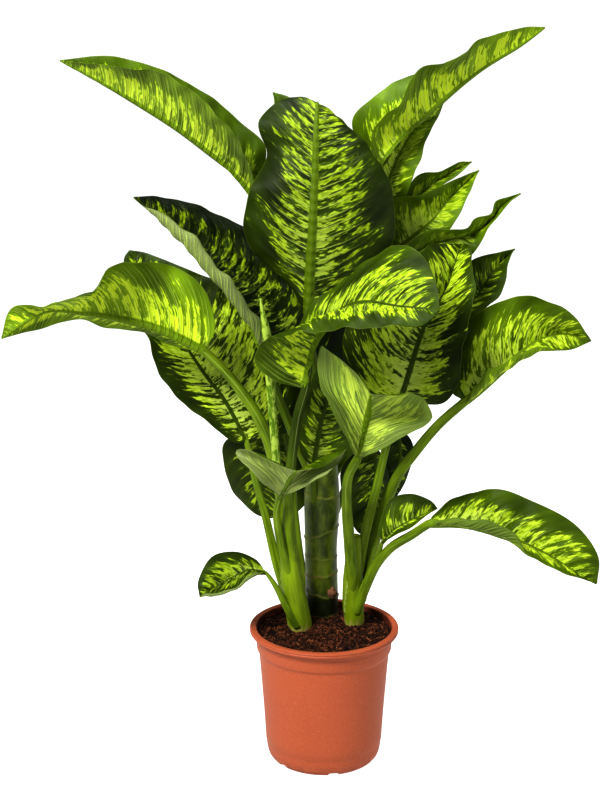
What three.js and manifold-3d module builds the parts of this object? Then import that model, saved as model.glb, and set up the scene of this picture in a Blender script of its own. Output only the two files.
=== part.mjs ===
// A potted dieffenbachia with three shoots, in millimetres and +Z up.
// The origin is the middle of the underside of the pot. The best side of the plant faces -Y.

import * as THREE from 'three';
import { mergeVertices } from 'three/addons/utils/BufferGeometryUtils.js';
import Module from 'manifold-3d';

const wasm = await Module();
wasm.setup();

// ---- driving dimensions ----

const seatGap = 0.3; // air between two pieces that touch

const pot = {
  height: 195,
  rimRadius: 105,
  rimDepth: 8.5,
  wall: 1.8,
  floor: 2.5,
  neckRadius: 97.2,
  sides: 40,
  // outer radius and height of the wall, from the flat underside up to the stacking shoulder
  wallOutline: [
    [70, 0], [74.5, 1.5], [78, 5], [80.2, 11], [81.6, 20],
    [85.8, 80], [90.4, 141], [91.8, 157], [94, 163],
  ],
  // the rolled rim, over its top from the outside in: inset from the rim radius, drop from the pot's height
  rimOutline: [[2, 8.5], [0.4, 7.3], [0, 4.5], [0.6, 2], [2.6, 0], [7.5, 0], [9.7, 1.2]],
};

// the notches in the foot that let water out
const drain = { count: 6, width: 15, depth: 14, radius: 74, top: 5, bottom: -1, firstAngle: -80 };

const soil = { top: 187, crown: 4, edgeDrop: 3, flatRadius: 60, footInset: 4 };

const stems = {
  cane: {
    route: [[-2, 62, 150], [-2, 61, 210], [-4, 58, 290], [-3, 56, 365], [-3, 52, 440], [-3, 50, 500]],
    radius: [24, 23.5, 22.5, 25, 21, 13],
    sides: 16,
  },
  left_shoot: {
    route: [[-33, 10, 155], [-35, 6, 193], [-41, 3, 230], [-47, 2, 270], [-50, 2, 305]],
    radius: [15, 17, 16.5, 15, 11],
    sides: 12,
  },
  right_shoot: {
    route: [[43, 24, 155], [43, 22, 190], [41, 18, 228], [41, 14, 265], [42, 10, 295]],
    radius: [12, 13, 14, 14, 10],
    sides: 12,
  },
};

const spear = {
  route: [
    [-60, -2, 395], [-65, -8, 435], [-69, -13, 483],
    [-74, -18, 547], [-78, -20, 610], [-87, -24, 667],
  ],
  radius: [6.5, 7, 7.5, 7, 6, 1.5],
  sides: 8,
};

const bud = {
  route: [[12, 43, 225], [12, 35, 228], [12, 31, 234], [12, 31, 239]],
  radius: [4, 7, 7, 2],
  sides: 10,
  rows: 6,
};

const blade = {
  thickness: 1.2,
  keelDepth: 2.6, // how far the midrib stands out of the underside at the blade's foot
  endTrim: 0.02, // the share of the length left off at each pointed end
  neck: 0.04, // the share of the midrib that the stalk runs on along
  camber: 0.05, // how far each half bows out, as a share of its width
  across: [0, 0.09, 0.55, 1],
  rowLength: 36,
  fewestRows: 5,
};

const stalk = { sides: 6, rowLength: 36, fewestRows: 3 };
const stemRows = 12;

// Each leaf has a stalk, which runs from the stem that carries it to the foot of the blade,
// and a blade spread between three curves: its midrib and its left and right edges,
// as seen from the upper face with the tip pointing up.
const leaves = [
  {
    name: 'long_left',
    stalk: [[-5, 55, 480], [-15, 85, 560], [-35, 110, 655], [-70, 110, 735]],
    stalkRadius: [8, 5],
    rib: [
      [-95, 90, 785], [-115, 85, 810], [-145, 75, 840], [-195, 60, 880],
      [-245, 45, 915], [-295, 30, 945], [-345, 10, 975],
    ],
    left: [[-100, 50, 835], [-125, 25, 880], [-160, 20, 920], [-210, 20, 955], [-275, 10, 965]],
    right: [[-80, 85, 850], [-110, 95, 885], [-155, 85, 925], [-220, 65, 960], [-285, 45, 980]],
  },
  {
    name: 'long_right',
    stalk: [[-5, 55, 475], [10, 80, 575], [35, 105, 670], [60, 105, 755]],
    stalkRadius: [8, 5],
    rib: [[70, 95, 815], [105, 95, 865], [155, 90, 915], [210, 90, 960], [260, 85, 990], [295, 80, 1015]],
    left: [
      [35, 100, 885], [65, 100, 920], [105, 135, 945],
      [170, 150, 965], [215, 130, 990], [260, 100, 1010],
    ],
    right: [
      [65, 80, 875], [95, 45, 915], [120, 50, 955],
      [170, 35, 975], [210, 55, 1000], [260, 70, 1015],
    ],
  },
  {
    name: 'behind_right',
    stalk: [[0, 60, 455], [25, 95, 550], [55, 120, 640], [75, 130, 715]],
    stalkRadius: [7, 4],
    rib: [[85, 110, 775], [90, 125, 810], [110, 135, 850], [135, 150, 885], [170, 165, 920]],
    left: [[60, 110, 815], [75, 120, 865], [110, 135, 900], [145, 150, 915]],
    right: [[110, 105, 780], [125, 100, 825], [145, 120, 865], [160, 145, 900]],
  },
  {
    name: 'hero',
    stalk: [[-5, 50, 460], [-10, 45, 525], [-20, 15, 590]],
    stalkRadius: [9, 7],
    rib: [
      [-25, -15, 635], [-20, -10, 690], [-15, -10, 770], [-15, 0, 835],
      [-15, 20, 885], [-10, 60, 915], [-15, 110, 890],
    ],
    left: [
      [-45, 5, 680], [-85, 20, 710], [-110, 20, 750], [-100, 20, 805],
      [-80, 30, 850], [-90, 40, 890], [-50, 60, 915],
    ],
    right: [
      [20, 0, 665], [70, 10, 700], [90, 20, 745], [90, 25, 800],
      [75, 40, 845], [40, 60, 885], [0, 85, 900],
    ],
  },
  {
    name: 'behind_hero',
    stalk: [[-5, 65, 450], [-5, 100, 525], [0, 140, 605]],
    stalkRadius: [7, 4.5],
    rib: [[-5, 130, 690], [-15, 150, 760], [-40, 190, 845], [-75, 235, 920]],
    left: [[-45, 125, 730], [-65, 140, 805], [-70, 175, 870], [-70, 215, 905]],
    right: [[30, 130, 745], [15, 150, 825], [-20, 195, 890], [-45, 225, 915]],
  },
  {
    name: 'middle_left',
    stalk: [[-5, 60, 375], [-35, 60, 440], [-65, 45, 520]],
    stalkRadius: [8, 5],
    rib: [
      [-85, 25, 585], [-115, 25, 650], [-155, 20, 695],
      [-185, 20, 735], [-220, 15, 770], [-255, 10, 800],
    ],
    left: [[-95, -10, 600], [-135, -35, 665], [-180, -35, 720], [-215, -25, 760], [-240, -5, 785]],
    right: [[-25, 60, 605], [-50, 90, 695], [-115, 100, 745], [-165, 85, 770], [-215, 55, 790]],
  },
  {
    name: 'arching_left',
    stalk: [[-50, 5, 285], [-55, 5, 350], [-65, 5, 405], [-80, 5, 465], [-95, 5, 510], [-130, -5, 555]],
    stalkRadius: [11, 6],
    rib: [
      [-160, -10, 590], [-220, -20, 625], [-275, -30, 640],
      [-320, -40, 650], [-370, -50, 655], [-425, -60, 620],
    ],
    left: [
      [-150, -5, 630], [-165, -5, 680], [-215, -10, 710], [-275, -70, 720],
      [-300, -100, 690], [-355, -90, 670], [-410, -50, 660],
    ],
    right: [[-200, 0, 595], [-245, 0, 615], [-290, -10, 625], [-330, -20, 635], [-385, -40, 630]],
  },
  {
    name: 'low_left',
    stalk: [[-55, 10, 245], [-70, 15, 285], [-85, 30, 350], [-100, 50, 400]],
    stalkRadius: [7, 4],
    rib: [
      [-110, 60, 445], [-140, 65, 505], [-170, 75, 540],
      [-195, 85, 580], [-240, 105, 650], [-275, 125, 710],
    ],
    left: [
      [-130, 50, 450], [-175, 40, 490], [-220, 40, 535],
      [-245, 50, 600], [-265, 80, 660], [-280, 110, 695],
    ],
    right: [
      [-90, 90, 470], [-90, 105, 540], [-105, 90, 595],
      [-145, 105, 640], [-190, 115, 675], [-245, 130, 700],
    ],
  },
  {
    name: 'front_saddle',
    stalk: [[-50, -5, 270], [-60, -10, 320], [-65, -20, 365]],
    stalkRadius: [7, 4.5],
    rib: [[-60, -35, 395], [-55, -60, 415], [-45, -95, 440], [-40, -135, 460]],
    left: [[-35, -110, 430], [-5, -125, 450], [20, -85, 465], [30, -95, 480], [-5, -115, 465]],
    right: [[-80, -105, 435], [-105, -110, 460], [-120, -80, 465], [-110, -90, 480], [-75, -125, 475]],
  },
  {
    name: 'front_centre',
    stalk: [[-45, 0, 275], [-50, -10, 345], [-50, -15, 400], [-45, -20, 455], [-35, -30, 510]],
    stalkRadius: [9, 6],
    rib: [
      [-25, -40, 545], [-20, -45, 585], [-10, -55, 620], [20, -70, 660],
      [50, -100, 675], [90, -130, 675], [140, -165, 680],
    ],
    left: [
      [-40, -30, 585], [-35, -30, 625], [-15, -35, 665], [30, -45, 700],
      [80, -60, 745], [120, -95, 740], [135, -130, 705],
    ],
    right: [
      [-65, -45, 560], [-95, -50, 585], [-85, -70, 615], [-35, -135, 645],
      [20, -165, 655], [70, -180, 660], [115, -175, 660],
    ],
  },
  {
    name: 'front_right',
    stalk: [[40, 10, 245], [35, -10, 315], [30, -20, 380], [30, -40, 425]],
    stalkRadius: [9, 6],
    rib: [[40, -60, 455], [50, -80, 490], [55, -110, 535], [55, -155, 570]],
    left: [[70, -125, 490], [105, -150, 515], [135, -110, 525], [125, -120, 555], [90, -155, 570]],
    right: [
      [25, -120, 505], [5, -125, 545], [-10, -80, 580],
      [-5, -90, 620], [20, -115, 605], [45, -145, 585],
    ],
  },
  {
    name: 'centre_right',
    stalk: [[45, 20, 250], [55, 10, 325], [70, 5, 390], [85, 10, 465]],
    stalkRadius: [7.5, 5],
    rib: [
      [105, 15, 520], [115, 15, 560], [135, 20, 625], [155, 20, 655],
      [170, 30, 685], [180, 50, 715], [190, 75, 725],
    ],
    left: [[65, 5, 535], [25, 15, 570], [30, 20, 620], [85, -15, 685], [130, -15, 715], [155, 35, 730]],
    right: [
      [140, 5, 515], [165, -25, 555], [185, -30, 615],
      [195, -25, 665], [195, 5, 700], [200, 50, 725],
    ],
  },
  {
    name: 'upper_right_small',
    stalk: [[0, 65, 420], [40, 110, 515], [75, 140, 620], [95, 140, 705]],
    stalkRadius: [6, 3],
    rib: [[105, 130, 755], [140, 140, 790], [180, 160, 815], [210, 170, 830]],
    left: [[110, 120, 785], [130, 125, 810], [160, 135, 820], [190, 155, 830]],
    right: [[135, 115, 775], [160, 125, 795], [195, 150, 815]],
  },
  {
    name: 'upper_right',
    stalk: [[5, 65, 400], [45, 95, 490], [85, 120, 590], [115, 115, 670]],
    stalkRadius: [6, 3],
    rib: [[125, 110, 710], [150, 115, 750], [175, 125, 780], [215, 140, 820]],
    left: [[110, 115, 730], [135, 95, 770], [160, 110, 800], [195, 120, 815]],
    right: [[150, 110, 720], [175, 95, 755], [200, 110, 790]],
  },
  {
    name: 'twisted_right',
    stalk: [[0, 60, 440], [50, 85, 515], [95, 100, 590], [120, 100, 665]],
    stalkRadius: [6, 3],
    rib: [[130, 90, 710], [160, 90, 725], [195, 85, 735], [220, 85, 750], [240, 80, 775], [270, 75, 795]],
    left: [
      [150, 60, 745], [185, 60, 750], [205, 65, 760],
      [225, 60, 770], [235, 70, 785], [255, 75, 790],
    ],
    right: [[165, 65, 715], [200, 70, 715], [225, 65, 745], [250, 70, 780]],
  },
  {
    name: 'dark_right',
    stalk: [[5, 60, 380], [55, 105, 440], [110, 115, 495], [160, 100, 570]],
    stalkRadius: [6, 3],
    rib: [[175, 80, 605], [210, 90, 645], [240, 100, 685], [265, 110, 715]],
    left: [[175, 80, 655], [205, 100, 695], [245, 95, 710]],
    right: [[205, 55, 625], [245, 65, 660], [255, 85, 700]],
  },
  {
    name: 'big_right',
    stalk: [[50, 20, 225], [65, 25, 290], [80, 20, 355], [100, 10, 410], [125, 0, 450], [155, -10, 490]],
    stalkRadius: [9, 6],
    rib: [
      [190, -15, 525], [210, -15, 540], [235, -20, 565], [260, -25, 590],
      [285, -30, 610], [315, -35, 620], [350, -40, 615],
    ],
    left: [
      [170, 0, 535], [165, 20, 580], [195, 10, 635], [245, -20, 665],
      [280, -60, 675], [315, -60, 660], [340, -55, 625],
    ],
    right: [[205, -45, 540], [240, -60, 570], [280, -60, 595], [325, -40, 600]],
  },
  {
    name: 'low_right',
    stalk: [[45, 15, 210], [55, 0, 250], [70, -15, 290], [90, -30, 320], [120, -45, 345]],
    stalkRadius: [8, 6],
    rib: [
      [140, -60, 365], [190, -70, 365], [235, -80, 355],
      [285, -90, 335], [330, -100, 310], [360, -110, 300],
    ],
    left: [
      [150, -40, 370], [180, -25, 390], [230, -60, 415],
      [275, -70, 400], [330, -85, 375], [360, -100, 335],
    ],
    right: [[180, -105, 370], [230, -125, 365], [270, -130, 340], [310, -125, 320]],
  },
  {
    name: 'small_right',
    stalk: [[70, -12, 288], [76, -20, 308]],
    stalkRadius: [4, 2.5],
    rib: [[80, -25, 325], [95, -25, 345], [115, -30, 360], [135, -35, 370], [155, -35, 380]],
    left: [[75, -35, 355], [90, -15, 385], [115, -20, 395], [145, -30, 390]],
    right: [[100, -50, 350], [125, -50, 365], [145, -45, 375]],
  },
  {
    name: 'hanging_right',
    stalk: [[0, 60, 315], [25, 85, 420], [45, 85, 470], [60, 65, 475]],
    stalkRadius: [6, 3.5],
    rib: [[65, 45, 455], [75, 40, 410], [75, 40, 360], [65, 45, 310]],
    left: [[90, 60, 415], [90, 50, 365], [85, 40, 325]],
    right: [[40, 40, 415], [35, 40, 370], [45, 40, 325]],
  },
  {
    name: 'hanging_far_right',
    stalk: [[5, 65, 290], [35, 90, 380], [65, 90, 465], [90, 80, 495]],
    stalkRadius: [5, 3],
    rib: [[105, 70, 470], [110, 70, 420], [100, 70, 355]],
    left: [[125, 70, 440], [120, 75, 390]],
    right: [[85, 70, 430], [85, 65, 385]],
  },
  {
    name: 'back_left',
    stalk: [[-20, 65, 210], [-35, 85, 260], [-40, 100, 325], [-50, 125, 410], [-65, 140, 460]],
    stalkRadius: [6, 4],
    rib: [[-75, 140, 445], [-85, 145, 385], [-90, 150, 340], [-75, 150, 305]],
    left: [[-15, 145, 425], [-5, 145, 380], [-20, 150, 335], [-50, 150, 305]],
    right: [[-140, 145, 430], [-145, 150, 390], [-130, 175, 330], [-100, 155, 310]],
  },
  {
    name: 'tiny_left',
    stalk: [[-35, -5, 195], [-55, -10, 230], [-65, -15, 255]],
    stalkRadius: [8, 2.5],
    rib: [[-80, -10, 275], [-105, -15, 280], [-125, -20, 275], [-150, -25, 260], [-175, -30, 250]],
    left: [[-95, -45, 280], [-120, -55, 270], [-150, -55, 255]],
    right: [[-95, 10, 290], [-120, 5, 305], [-155, -10, 300], [-175, -20, 270]],
  },
  {
    name: 'centre_back',
    stalk: [[-5, 50, 320], [-15, 35, 370]],
    stalkRadius: [6, 4],
    rib: [[-15, 15, 420], [-5, 10, 480], [5, 0, 520], [10, -5, 585]],
    left: [[-35, 15, 445], [-30, 15, 510], [-10, 10, 565]],
    right: [[15, -5, 455], [25, -10, 510], [30, 0, 560]],
  },
];

const finishes = {
  plastic: { color: 0xc45d3b, roughness: 0.55 },
  earth: { color: 0x3a2412, roughness: 1 },
  leaf: { color: 0x2f5214, roughness: 0.35 },
  stalk: { color: 0x5c8a1c, roughness: 0.45 },
  cane: { color: 0x4a6b1a, roughness: 0.5 },
  spear: { color: 0x8db52e, roughness: 0.4 },
  bud: { color: 0x7a4a2c, roughness: 0.7 },
};

// ---- solids ----

const plant = new THREE.Group();

function addNode(name, geometry, finish) {
  const material = new THREE.MeshStandardMaterial({ metalness: 0, ...finishes[finish] });
  const mesh = new THREE.Mesh(geometry, material);
  mesh.name = name;
  plant.add(mesh);
}

function geometryOf(points, triangles) {
  const geometry = new THREE.BufferGeometry();
  geometry.setAttribute('position', new THREE.Float32BufferAttribute(points.flat(), 3));
  geometry.setIndex(triangles.flat());
  return geometry;
}

function toSolid(geometry) {
  const bare = geometry.clone();
  bare.deleteAttribute('normal');
  bare.deleteAttribute('uv');
  const merged = mergeVertices(bare);
  return new wasm.Manifold(new wasm.Mesh({
    numProp: 3,
    vertProperties: new Float32Array(merged.attributes.position.array),
    triVerts: new Uint32Array(merged.index.array),
  }));
}

function toGeometry(solid) {
  const mesh = solid.getMesh();
  const geometry = new THREE.BufferGeometry();
  geometry.setAttribute('position', new THREE.BufferAttribute(mesh.vertProperties, 3));
  geometry.setIndex(new THREE.BufferAttribute(mesh.triVerts, 1));
  return geometry;
}

// what is left of a solid once others are cut out of it: its largest piece
function cutBy(solid, cutters) {
  const left = cutters.reduce((rest, cutter) => rest.subtract(cutter), solid);
  const pieces = left.decompose();
  return pieces.reduce((a, b) => (a.volume() > b.volume() ? a : b));
}

function curveThrough(points) {
  return new THREE.CatmullRomCurve3(points.map((p) => new THREE.Vector3(...p)), false, 'catmullrom', 0.5);
}

// a closed round tube along a curve, whose radius runs through the listed values
function sweep(curve, radii, sides, rows, extra = 0) {
  const frames = curve.computeFrenetFrames(rows, false);
  const points = [];
  const triangles = [];
  for (let row = 0; row <= rows; row += 1) {
    const t = row / rows;
    const place = t * (radii.length - 1);
    const step = Math.min(Math.floor(place), radii.length - 2);
    const radius = THREE.MathUtils.lerp(radii[step], radii[step + 1], place - step) + extra;
    const centre = curve.getPointAt(t);
    for (let side = 0; side < sides; side += 1) {
      const angle = (side / sides) * 2 * Math.PI;
      const point = centre.clone()
        .addScaledVector(frames.normals[row], radius * Math.cos(angle))
        .addScaledVector(frames.binormals[row], radius * Math.sin(angle));
      points.push(point.toArray());
    }
  }
  for (let row = 0; row < rows; row += 1) {
    for (let side = 0; side < sides; side += 1) {
      const next = (side + 1) % sides;
      const a = row * sides + side;
      const b = row * sides + next;
      triangles.push([a, b, b + sides], [a, b + sides, a + sides]);
    }
  }
  const foot = points.push(curve.getPointAt(0).toArray()) - 1;
  const head = points.push(curve.getPointAt(1).toArray()) - 1;
  for (let side = 0; side < sides; side += 1) {
    const next = (side + 1) % sides;
    triangles.push([foot, next, side], [head, rows * sides + side, rows * sides + next]);
  }
  return geometryOf(points, triangles);
}

function rowCount(curve, { rowLength, fewestRows }) {
  return Math.max(fewestRows, Math.round(curve.getLength() / rowLength));
}

// the thin closed solid of one blade, with its midrib standing out underneath
function bladeGeometry(leaf) {
  const [foot, tip] = [leaf.rib[0], leaf.rib.at(-1)];
  const rib = curveThrough(leaf.rib);
  const leftEdge = curveThrough([foot, ...leaf.left, tip]);
  const rightEdge = curveThrough([foot, ...leaf.right, tip]);
  const rows = rowCount(rib, blade);
  const columns = [...blade.across.slice(1).reverse().map((u) => -u), ...blade.across];
  const grid = [];
  for (let row = 0; row <= rows; row += 1) {
    const t = THREE.MathUtils.lerp(blade.endTrim, 1 - blade.endTrim, row / rows);
    const middle = rib.getPointAt(t);
    const along = rib.getTangentAt(t);
    const span = rightEdge.getPointAt(t).sub(leftEdge.getPointAt(t));
    const face = span.cross(along).normalize();
    grid.push(columns.map((u) => {
      const edge = (u < 0 ? leftEdge : rightEdge).getPointAt(t);
      const reach = Math.abs(u);
      const bow = 4 * blade.camber * reach * (1 - reach) * edge.distanceTo(middle);
      return middle.clone().lerp(edge, reach).addScaledVector(face, bow);
    }));
  }
  const count = columns.length;
  const upper = [];
  const lower = [];
  for (let row = 0; row <= rows; row += 1) {
    for (let column = 0; column < count; column += 1) {
      const point = grid[row][column];
      const above = grid[Math.min(row + 1, rows)][column];
      const below = grid[Math.max(row - 1, 0)][column];
      const toRight = grid[row][Math.min(column + 1, count - 1)];
      const toLeft = grid[row][Math.max(column - 1, 0)];
      const normal = toRight.clone().sub(toLeft).cross(above.clone().sub(below)).normalize();
      const keel = columns[column] === 0 ? blade.keelDepth * (1 - row / rows) : 0;
      upper.push(point.clone().addScaledVector(normal, blade.thickness / 2).toArray());
      lower.push(point.clone().addScaledVector(normal, -blade.thickness / 2 - keel).toArray());
    }
  }
  const shift = upper.length;
  const triangles = [];
  const addQuad = (a, b, c, d) => triangles.push([a, b, c], [a, c, d]);
  for (let row = 0; row < rows; row += 1) {
    for (let column = 0; column < count - 1; column += 1) {
      const a = row * count + column;
      const d = a + count;
      addQuad(a, a + 1, d + 1, d);
      addQuad(a + shift, d + shift, d + 1 + shift, a + 1 + shift);
    }
    const left = row * count;
    const right = left + count - 1;
    addQuad(left, left + count, left + count + shift, left + shift);
    addQuad(right, right + shift, right + count + shift, right + count);
  }
  for (let column = 0; column < count - 1; column += 1) {
    const last = rows * count + column;
    addQuad(column, column + shift, column + 1 + shift, column + 1);
    addQuad(last, last + 1, last + 1 + shift, last + shift);
  }
  return geometryOf([...upper, ...lower], triangles);
}

// ---- pot and soil ----

const neckHeight = pot.height - pot.rimDepth;

function potOutside() {
  return [
    ...pot.wallOutline,
    [pot.neckRadius, neckHeight],
    ...pot.rimOutline.map(([inset, drop]) => [pot.rimRadius - inset, pot.height - drop]),
    [pot.neckRadius - pot.wall, neckHeight],
  ];
}

// the inside of the wall, from the floor up to the stacking shoulder
function potInside() {
  const walls = pot.wallOutline.slice(2).map(([radius, height]) => [radius - pot.wall, height]);
  return [[walls[0][0] - soil.footInset, pot.floor], ...walls];
}

function latheSolid(outline) {
  const profile = outline.map(([radius, height]) => new THREE.Vector2(radius, height));
  const turned = new THREE.LatheGeometry(profile, pot.sides);
  return toSolid(turned.rotateX(Math.PI / 2));
}

function drainCutters() {
  const cutters = [];
  for (let hole = 0; hole < drain.count; hole += 1) {
    const angle = THREE.MathUtils.degToRad(drain.firstAngle) + (hole / drain.count) * 2 * Math.PI;
    const box = new THREE.BoxGeometry(drain.depth, drain.width, drain.top - drain.bottom);
    box.translate(drain.radius, 0, (drain.top + drain.bottom) / 2);
    cutters.push(toSolid(box.rotateZ(angle)));
  }
  return cutters;
}

const inside = potInside();
const shell = latheSolid([[0, 0], ...potOutside(), ...inside.toReversed(), [0, pot.floor]]);
addNode('pot', toGeometry(cutBy(shell, drainCutters())), 'plastic');

// ---- stems ----

// each stem and stalk with the seat gap round it, to be cut out of the pieces that meet it
const clearances = {};

for (const [name, stem] of Object.entries(stems)) {
  const curve = curveThrough(stem.route);
  addNode(name, sweep(curve, stem.radius, stem.sides, stemRows), 'cane');
  clearances[name] = toSolid(sweep(curve, stem.radius, stem.sides, stemRows, seatGap));
}

const soilWall = inside.map(([radius, height]) => [radius - seatGap, height + seatGap]);
const [shoulderRadius, shoulderHeight] = soilWall.at(-1);
const edgeHeight = soil.top - soil.edgeDrop;
const rise = (edgeHeight - shoulderHeight) / (neckHeight - shoulderHeight);
const edgeRadius = THREE.MathUtils.lerp(shoulderRadius, pot.neckRadius - pot.wall, rise) - seatGap;
const mound = latheSolid([
  [0, soilWall[0][1]],
  ...soilWall,
  [edgeRadius, edgeHeight],
  [soil.flatRadius, soil.top],
  [0, soil.top + soil.crown],
]);
addNode('soil', toGeometry(cutBy(mound, Object.values(clearances))), 'earth');

const budSolid = toSolid(sweep(curveThrough(bud.route), bud.radius, bud.sides, bud.rows));
addNode('bud', toGeometry(cutBy(budSolid, [clearances.cane])), 'bud');

// ---- leaves ----

for (const leaf of leaves) {
  const neck = curveThrough(leaf.rib).getPointAt(blade.neck).toArray();
  const route = curveThrough([...leaf.stalk, leaf.rib[0], neck]);
  const rows = rowCount(route, stalk);
  const tube = toSolid(sweep(route, leaf.stalkRadius, stalk.sides, rows));
  const ownClearance = toSolid(sweep(route, leaf.stalkRadius, stalk.sides, rows, seatGap));
  addNode(`stalk_${leaf.name}`, toGeometry(cutBy(tube, Object.values(clearances))), 'stalk');
  addNode(`leaf_${leaf.name}`, toGeometry(cutBy(toSolid(bladeGeometry(leaf)), [ownClearance])), 'leaf');
  clearances[`stalk_${leaf.name}`] = ownClearance;
}

const spearSolid = toSolid(sweep(curveThrough(spear.route), spear.radius, spear.sides, stemRows));
addNode('spear', toGeometry(cutBy(spearSolid, [clearances.stalk_arching_left])), 'spear');

export default plant;
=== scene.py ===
import math
import bpy
import bmesh
import numpy as np
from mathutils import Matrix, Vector


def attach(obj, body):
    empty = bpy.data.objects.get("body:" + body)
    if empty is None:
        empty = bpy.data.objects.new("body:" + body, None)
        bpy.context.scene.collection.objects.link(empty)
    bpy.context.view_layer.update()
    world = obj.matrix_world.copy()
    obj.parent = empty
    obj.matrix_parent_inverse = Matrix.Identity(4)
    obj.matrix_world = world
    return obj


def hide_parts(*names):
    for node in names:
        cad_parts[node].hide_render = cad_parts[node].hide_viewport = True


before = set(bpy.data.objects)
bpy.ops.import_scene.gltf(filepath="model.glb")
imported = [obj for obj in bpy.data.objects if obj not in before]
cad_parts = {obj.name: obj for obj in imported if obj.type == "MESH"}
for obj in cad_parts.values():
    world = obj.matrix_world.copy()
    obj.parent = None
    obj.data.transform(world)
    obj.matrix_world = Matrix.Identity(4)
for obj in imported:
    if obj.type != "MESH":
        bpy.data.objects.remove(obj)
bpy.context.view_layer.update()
scene = bpy.context.scene
mm = 0.001
fullTurn = 2 * math.pi


class Wire:
    # an output socket, so that shader maths reads as plain expressions
    def __init__(self, paint, socket):
        self.paint = paint
        self.socket = socket

    def math(self, operation, first, second=0.0):
        return self.paint.node("Math", {"operation": operation}, {0: first, 1: second})

    def __add__(self, other):
        return self.math("ADD", self, other)

    def __sub__(self, other):
        return self.math("SUBTRACT", self, other)

    def __rsub__(self, other):
        return self.math("SUBTRACT", other, self)

    def __mul__(self, other):
        return self.math("MULTIPLY", self, other)

    def __truediv__(self, other):
        return self.math("DIVIDE", self, other)

    def __pow__(self, other):
        return self.math("POWER", self, other)

    def __gt__(self, other):
        return self.math("GREATER_THAN", self, other)

    def __abs__(self):
        return self.math("ABSOLUTE", self)

    __radd__ = __add__
    __rmul__ = __mul__


def rgb(red, green, blue):
    # screen values to the linear colour that shaders use
    values = [v / 255 for v in (red, green, blue)]
    return tuple(((v + 0.055) / 1.055) ** 2.4 if v > 0.04 else v / 12.92 for v in values) + (1.0,)


class Paint:
    # one procedural material
    def __init__(self, name):
        self.material = bpy.data.materials.new(name)
        self.material.use_nodes = True
        self.tree = self.material.node_tree
        self.tree.nodes.clear()

    def node(self, kind, settings=None, inputs=None, output=0):
        made = self.tree.nodes.new("ShaderNode" + kind)
        for key, value in (settings or {}).items():
            setattr(made, key, value)
        for key, value in (inputs or {}).items():
            if isinstance(value, Wire):
                self.tree.links.new(value.socket, made.inputs[key])
            else:
                made.inputs[key].default_value = value
        return Wire(self, made.outputs[output]) if made.outputs else made

    def objectPlace(self):
        return self.node("TexCoord", output=3)

    def split(self, vector):
        made = self.node("SeparateXYZ", {}, {0: vector}).socket.node
        return [Wire(self, socket) for socket in made.outputs]

    def attribute(self, name):
        # the three values that a mesh carries under this name
        return self.split(self.node("Attribute", {"attribute_name": name}, {}, 1))

    def place(self, x, y, z):
        return self.node("CombineXYZ", {}, {0: x, 1: y, 2: z})

    def noise(self, place, detail=2.0, roughness=0.5, distortion=0.0, scale=1.0):
        return self.node("TexNoise", {}, {"Vector": place, "Scale": scale, "Detail": detail,
                                          "Roughness": roughness, "Distortion": distortion})

    def skinNoise(self, across, along, detail=2.0, roughness=0.5):
        # noise in a stem's own skin, drawn out along the stem
        x, y, z = self.attribute("skinPlace")
        return self.noise(self.place(x * across, y * across, z * along), detail, roughness)

    def step(self, value, low, high):
        # a soft rise from 0 at low to 1 at high
        return self.node("MapRange", {"interpolation_type": "SMOOTHSTEP"},
                         {"Value": value, "From Min": low, "From Max": high})

    def mix(self, share, first, second):
        return self.node("Mix", {"data_type": "RGBA"}, {0: share, 6: first, 7: second}, 2)

    def layers(self, color, coats):
        # lays colours over the first one, each by its own share
        for share, coat in coats:
            color = self.mix(share, color, coat)
        return color

    def lines(self, value, width):
        # thin repeating lines, one for each whole number of value
        fold = self.node("Math", {"operation": "PINGPONG"}, {0: value, 1: 0.5})
        return 1.0 - self.step(fold, 0.0, width)

    def finish(self, color, roughness, height, depth, **fixed):
        bump = self.node("Bump", {}, {"Height": height, "Distance": depth, "Strength": 1.0})
        inputs = {"Base Color": color, "Roughness": roughness, "Normal": bump}
        inputs.update({key.replace("_", " "): value for key, value in fixed.items()})
        self.node("OutputMaterial", {}, {"Surface": self.node("BsdfPrincipled", {}, inputs)})
        return self.material


def addObject(name, data):
    made = bpy.data.objects.new(name, data)
    scene.collection.objects.link(made)
    return made


def makePiece(name, points, faces, materials, stands=(), places=None, faceKinds=None):
    mesh = bpy.data.meshes.new(name)
    mesh.from_pydata(np.asarray(points).tolist(), [], [list(map(int, face)) for face in faces])
    for key, values in (places or {}).items():
        attribute = mesh.attributes.new(key, "FLOAT_VECTOR", "POINT")
        attribute.data.foreach_set("vector", np.asarray(values, np.float32).ravel())
    for material in materials:
        mesh.materials.append(material)
    if faceKinds is not None:
        mesh.polygons.foreach_set("material_index", np.asarray(faceKinds, np.int32))
    mesh.shade_smooth()
    mesh.update()
    piece = addObject(name, mesh)
    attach(piece, "root")
    if stands:
        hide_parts(*stands)
    return piece


def unit(vectors):
    return vectors / np.maximum(np.linalg.norm(vectors, axis=-1, keepdims=True), 1e-12)


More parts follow.
